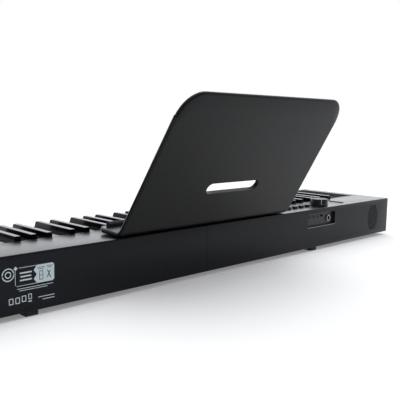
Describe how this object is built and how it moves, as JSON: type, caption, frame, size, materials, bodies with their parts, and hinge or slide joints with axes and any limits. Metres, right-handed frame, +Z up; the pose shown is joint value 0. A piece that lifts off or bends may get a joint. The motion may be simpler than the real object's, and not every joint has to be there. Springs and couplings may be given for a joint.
{
  "type": "digital piano",
  "caption": "Full-size digital piano: weighted-style keys that pivot, music rest that lifts off, volume knob, push buttons, grilles, jack recess and rubber feet.",
  "frame": {"origin": "on the floor, under the middle of the whole outline with the music rest on", "axes": "+X along the keys to the treble end, +Y to the rear, +Z up"},
  "size_m": [1.434, 0.3802, 0.3124],
  "materials": {
    "case_plastic": "satin",
    "grille_plastic": "matt, slotted",
    "foot_rubber": "matt",
    "chassis_steel": "plated",
    "board_plastic": "circuit board lacquer",
    "white_key_plastic": "polished",
    "black_key_plastic": "satin",
    "control_plastic": "satin",
    "socket_steel": "plated",
    "nut_chrome": "polished",
    "speaker_paper": "pressed pulp",
    "rest_plastic": "satin",
    "stop_rubber": "matt"
  },
  "bodies": {
    "case": {"aux_in_jack": "control_plastic", "base_board": "case_plastic", "control_board": "board_plastic", "end_block_bass": "case_plastic", "end_block_treble": "case_plastic", "foot_front_bass": "foot_rubber", "foot_front_treble": "foot_rubber", "foot_rear_bass": "foot_rubber", "foot_rear_treble": "foot_rubber", "headphone_jack": "control_plastic", "headphone_jack_nut": "nut_chrome", "jack_board": "board_plastic", "jack_panel": "control_plastic", "key_contact_board": "board_plastic", "key_slip": "case_plastic", "keybed_chassis": "chassis_steel", "line_out_jack": "control_plastic", "rear_speaker_bass": "speaker_paper", "rear_speaker_treble": "speaker_paper", "sustain_jack": "control_plastic", "top_grille_bass": "grille_plastic", "top_grille_treble": "grille_plastic", "top_speaker_bass": "speaker_paper", "top_speaker_treble": "speaker_paper", "upper_case_bass": "case_plastic", "upper_case_treble": "case_plastic", "usb_socket": "socket_steel"},
    "volume_knob": {"volume_knob": "control_plastic"},
    "power_button": {"power_button": "control_plastic"},
    "music_rest": {"music_rest": "rest_plastic", "page_stop": "stop_rubber"},
    "button_1": {"button_1": "control_plastic"},
    "button_2": {"button_2": "control_plastic"},
    "button_3": {"button_3": "control_plastic"},
    "button_4": {"button_4": "control_plastic"},
    "button_5": {"button_5": "control_plastic"},
    "white_keys_a0_b1": {"white_keys_a0_b1": "white_key_plastic"},
    "black_keys_a0_b1": {"black_keys_a0_b1": "black_key_plastic"},
    "white_keys_c2_b2": {"white_keys_c2_b2": "white_key_plastic"},
    "black_keys_c2_b2": {"black_keys_c2_b2": "black_key_plastic"},
    "white_keys_c3_b3": {"white_keys_c3_b3": "white_key_plastic"},
    "black_keys_c3_b3": {"black_keys_c3_b3": "black_key_plastic"},
    "white_keys_c5_b5": {"white_keys_c5_b5": "white_key_plastic"},
    "black_keys_c5_b5": {"black_keys_c5_b5": "black_key_plastic"},
    "white_keys_c6_b6": {"white_keys_c6_b6": "white_key_plastic"},
    "black_keys_c6_b6": {"black_keys_c6_b6": "black_key_plastic"},
    "white_keys_c7_c8": {"white_keys_c7_c8": "white_key_plastic"},
    "black_keys_c7_c8": {"black_keys_c7_c8": "black_key_plastic"},
    "key_c4": {"key_c4": "white_key_plastic"},
    "key_d4": {"key_d4": "white_key_plastic"},
    "key_e4": {"key_e4": "white_key_plastic"},
    "key_f4": {"key_f4": "white_key_plastic"},
    "key_g4": {"key_g4": "white_key_plastic"},
    "key_a4": {"key_a4": "white_key_plastic"},
    "key_b4": {"key_b4": "white_key_plastic"},
    "key_c_sharp4": {"key_c_sharp4": "black_key_plastic"},
    "key_d_sharp4": {"key_d_sharp4": "black_key_plastic"},
    "key_f_sharp4": {"key_f_sharp4": "black_key_plastic"},
    "key_g_sharp4": {"key_g_sharp4": "black_key_plastic"},
    "key_a_sharp4": {"key_a_sharp4": "black_key_plastic"}
  },
  "joints": [
    {"name": "white_keys_a0_b1_press", "type": "hinge", "parent": "case", "child": "white_keys_a0_b1", "pos_m": [0, 0.00688, 0.0622], "axis": [1, 0, 0], "range_deg": [0, 2.9], "stiffness_Nm_per_rad": 13.5, "springref_deg": -5.73},
    {"name": "black_keys_a0_b1_press", "type": "hinge", "parent": "case", "child": "black_keys_a0_b1", "pos_m": [0, 0.00688, 0.0622], "axis": [1, 0, 0], "range_deg": [0, 3], "stiffness_Nm_per_rad": 9, "springref_deg": -5.73},
    {"name": "white_keys_c2_b2_press", "type": "hinge", "parent": "case", "child": "white_keys_c2_b2", "pos_m": [0, 0.00688, 0.0622], "axis": [1, 0, 0], "range_deg": [0, 2.9], "stiffness_Nm_per_rad": 10.5, "springref_deg": -5.73},
    {"name": "black_keys_c2_b2_press", "type": "hinge", "parent": "case", "child": "black_keys_c2_b2", "pos_m": [0, 0.00688, 0.0622], "axis": [1, 0, 0], "range_deg": [0, 3], "stiffness_Nm_per_rad": 7.5, "springref_deg": -5.73},
    {"name": "white_keys_c3_b3_press", "type": "hinge", "parent": "case", "child": "white_keys_c3_b3", "pos_m": [0, 0.00688, 0.0622], "axis": [1, 0, 0], "range_deg": [0, 2.9], "stiffness_Nm_per_rad": 10.5, "springref_deg": -5.73},
    {"name": "black_keys_c3_b3_press", "type": "hinge", "parent": "case", "child": "black_keys_c3_b3", "pos_m": [0, 0.00688, 0.0622], "axis": [1, 0, 0], "range_deg": [0, 3], "stiffness_Nm_per_rad": 7.5, "springref_deg": -5.73},
    {"name": "white_keys_c5_b5_press", "type": "hinge", "parent": "case", "child": "white_keys_c5_b5", "pos_m": [0, 0.00688, 0.0622], "axis": [1, 0, 0], "range_deg": [0, 2.9], "stiffness_Nm_per_rad": 10.5, "springref_deg": -5.73},
    {"name": "black_keys_c5_b5_press", "type": "hinge", "parent": "case", "child": "black_keys_c5_b5", "pos_m": [0, 0.00688, 0.0622], "axis": [1, 0, 0], "range_deg": [0, 3], "stiffness_Nm_per_rad": 7.5, "springref_deg": -5.73},
    {"name": "white_keys_c6_b6_press", "type": "hinge", "parent": "case", "child": "white_keys_c6_b6", "pos_m": [0, 0.00688, 0.0622], "axis": [1, 0, 0], "range_deg": [0, 2.9], "stiffness_Nm_per_rad": 10.5, "springref_deg": -5.73},
    {"name": "black_keys_c6_b6_press", "type": "hinge", "parent": "case", "child": "black_keys_c6_b6", "pos_m": [0, 0.00688, 0.0622], "axis": [1, 0, 0], "range_deg": [0, 3], "stiffness_Nm_per_rad": 7.5, "springref_deg": -5.73},
    {"name": "white_keys_c7_c8_press", "type": "hinge", "parent": "case", "child": "white_keys_c7_c8", "pos_m": [0, 0.00688, 0.0622], "axis": [1, 0, 0], "range_deg": [0, 2.9], "stiffness_Nm_per_rad": 12, "springref_deg": -5.73},
    {"name": "black_keys_c7_c8_press", "type": "hinge", "parent": "case", "child": "black_keys_c7_c8", "pos_m": [0, 0.00688, 0.0622], "axis": [1, 0, 0], "range_deg": [0, 3], "stiffness_Nm_per_rad": 7.5, "springref_deg": -5.73},
    {"name": "key_c4_press", "type": "hinge", "parent": "case", "child": "key_c4", "pos_m": [0, 0.00688, 0.0622], "axis": [1, 0, 0], "range_deg": [0, 2.9], "stiffness_Nm_per_rad": 1.5, "springref_deg": -5.73},
    {"name": "key_d4_press", "type": "hinge", "parent": "case", "child": "key_d4", "pos_m": [0, 0.00688, 0.0622], "axis": [1, 0, 0], "range_deg": [0, 2.9], "stiffness_Nm_per_rad": 1.5, "springref_deg": -5.73},
    {"name": "key_e4_press", "type": "hinge", "parent": "case", "child": "key_e4", "pos_m": [0, 0.00688, 0.0622], "axis": [1, 0, 0], "range_deg": [0, 2.9], "stiffness_Nm_per_rad": 1.5, "springref_deg": -5.73},
    {"name": "key_f4_press", "type": "hinge", "parent": "case", "child": "key_f4", "pos_m": [0, 0.00688, 0.0622], "axis": [1, 0, 0], "range_deg": [0, 2.9], "stiffness_Nm_per_rad": 1.5, "springref_deg": -5.73},
    {"name": "key_g4_press", "type": "hinge", "parent": "case", "child": "key_g4", "pos_m": [0, 0.00688, 0.0622], "axis": [1, 0, 0], "range_deg": [0, 2.9], "stiffness_Nm_per_rad": 1.5, "springref_deg": -5.73},
    {"name": "key_a4_press", "type": "hinge", "parent": "case", "child": "key_a4", "pos_m": [0, 0.00688, 0.0622], "axis": [1, 0, 0], "range_deg": [0, 2.9], "stiffness_Nm_per_rad": 1.5, "springref_deg": -5.73},
    {"name": "key_b4_press", "type": "hinge", "parent": "case", "child": "key_b4", "pos_m": [0, 0.00688, 0.0622], "axis": [1, 0, 0], "range_deg": [0, 2.9], "stiffness_Nm_per_rad": 1.5, "springref_deg": -5.73},
    {"name": "key_c_sharp4_press", "type": "hinge", "parent": "case", "child": "key_c_sharp4", "pos_m": [0, 0.00688, 0.0622], "axis": [1, 0, 0], "range_deg": [0, 3], "stiffness_Nm_per_rad": 1.5, "springref_deg": -5.73},
    {"name": "key_d_sharp4_press", "type": "hinge", "parent": "case", "child": "key_d_sharp4", "pos_m": [0, 0.00688, 0.0622], "axis": [1, 0, 0], "range_deg": [0, 3], "stiffness_Nm_per_rad": 1.5, "springref_deg": -5.73},
    {"name": "key_f_sharp4_press", "type": "hinge", "parent": "case", "child": "key_f_sharp4", "pos_m": [0, 0.00688, 0.0622], "axis": [1, 0, 0], "range_deg": [0, 3], "stiffness_Nm_per_rad": 1.5, "springref_deg": -5.73},
    {"name": "key_g_sharp4_press", "type": "hinge", "parent": "case", "child": "key_g_sharp4", "pos_m": [0, 0.00688, 0.0622], "axis": [1, 0, 0], "range_deg": [0, 3], "stiffness_Nm_per_rad": 1.5, "springref_deg": -5.73},
    {"name": "key_a_sharp4_press", "type": "hinge", "parent": "case", "child": "key_a_sharp4", "pos_m": [0, 0.00688, 0.0622], "axis": [1, 0, 0], "range_deg": [0, 3], "stiffness_Nm_per_rad": 1.5, "springref_deg": -5.73},
    {"name": "button_1_press", "type": "slide", "parent": "case", "child": "button_1", "axis": [0, 0, -1], "range_m": [0, 0.001], "stiffness_N_per_m": 400, "springref_m": -0.002},
    {"name": "button_2_press", "type": "slide", "parent": "case", "child": "button_2", "axis": [0, 0, -1], "range_m": [0, 0.001], "stiffness_N_per_m": 400, "springref_m": -0.002},
    {"name": "button_3_press", "type": "slide", "parent": "case", "child": "button_3", "axis": [0, 0, -1], "range_m": [0, 0.001], "stiffness_N_per_m": 400, "springref_m": -0.002},
    {"name": "button_4_press", "type": "slide", "parent": "case", "child": "button_4", "axis": [0, 0, -1], "range_m": [0, 0.001], "stiffness_N_per_m": 400, "springref_m": -0.002},
    {"name": "button_5_press", "type": "slide", "parent": "case", "child": "button_5", "axis": [0, 0, -1], "range_m": [0, 0.001], "stiffness_N_per_m": 400, "springref_m": -0.002},
    {"name": "power_button_press", "type": "slide", "parent": "case", "child": "power_button", "axis": [0, 0, -1], "range_m": [0, 0.001], "stiffness_N_per_m": 400, "springref_m": -0.002},
    {"name": "volume_turn", "type": "hinge", "parent": "case", "child": "volume_knob", "pos_m": [-0.4613, 0.02788, 0.0905], "axis": [0, 0, 1], "range_deg": [-185, 95]},
    {"name": "rest_lift", "type": "slide", "parent": "case", "child": "music_rest", "axis": [0, 0, 1], "range_m": [0, 0.06]}
  ]
}
